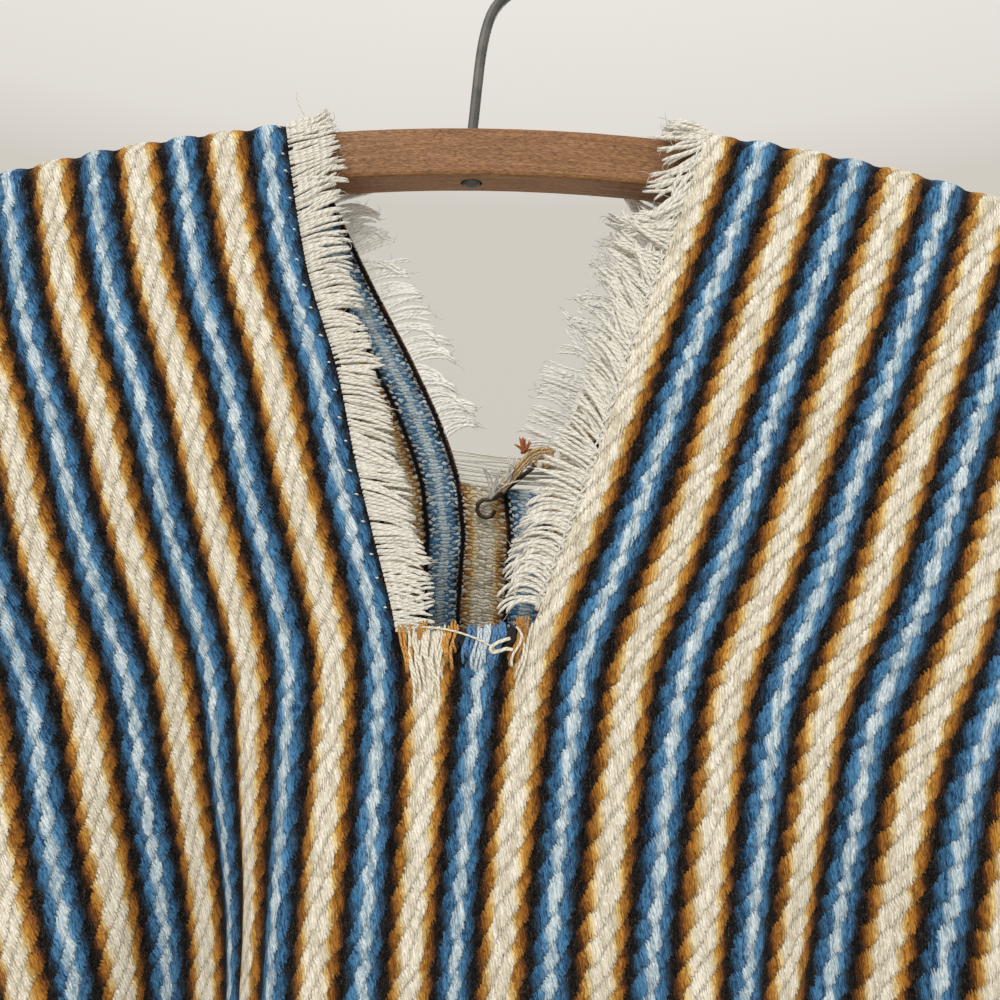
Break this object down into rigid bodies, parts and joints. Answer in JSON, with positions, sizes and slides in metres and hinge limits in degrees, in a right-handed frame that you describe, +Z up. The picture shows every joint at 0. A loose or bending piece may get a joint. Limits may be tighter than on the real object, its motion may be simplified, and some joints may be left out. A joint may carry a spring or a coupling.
{
  "type": "serape poncho on a wooden bow hanger",
  "caption": "Striped handwoven poncho with a fringed neck slot, folded over a bow-shaped wooden hanger with a wire hook.",
  "frame": {"origin": "the seat inside the hanger's hook, where a rail carries it", "axes": "+Z up, -Y towards the front of the garment, +X to the right as seen from the front"},
  "size_m": [0.6895, 0.0903, 1.048],
  "materials": {
    "hanger_wood": "matt, fine-grained mid-brown",
    "hanger_steel": "dull dark grey wire",
    "striped_cloth": "thick handwoven twill in cream, gold, black and blue stripes",
    "white_cotton": "soft two-ply white cotton weft",
    "dark_wire": "tarnished wire",
    "gold_thread": "wound tan and gold thread"
  },
  "bodies": {
    "root": {"hanger_bar": "hanger_wood", "hanger_hook": "hanger_steel", "front_panel": "striped_cloth", "back_panel": "striped_cloth", "fringe_front_left": "white_cotton", "fringe_front_right": "white_cotton", "fringe_back_left": "white_cotton", "fringe_back_right": "white_cotton", "neck_hook": "dark_wire", "neck_hook_thread": "gold_thread"}
  },
  "joints": []
}
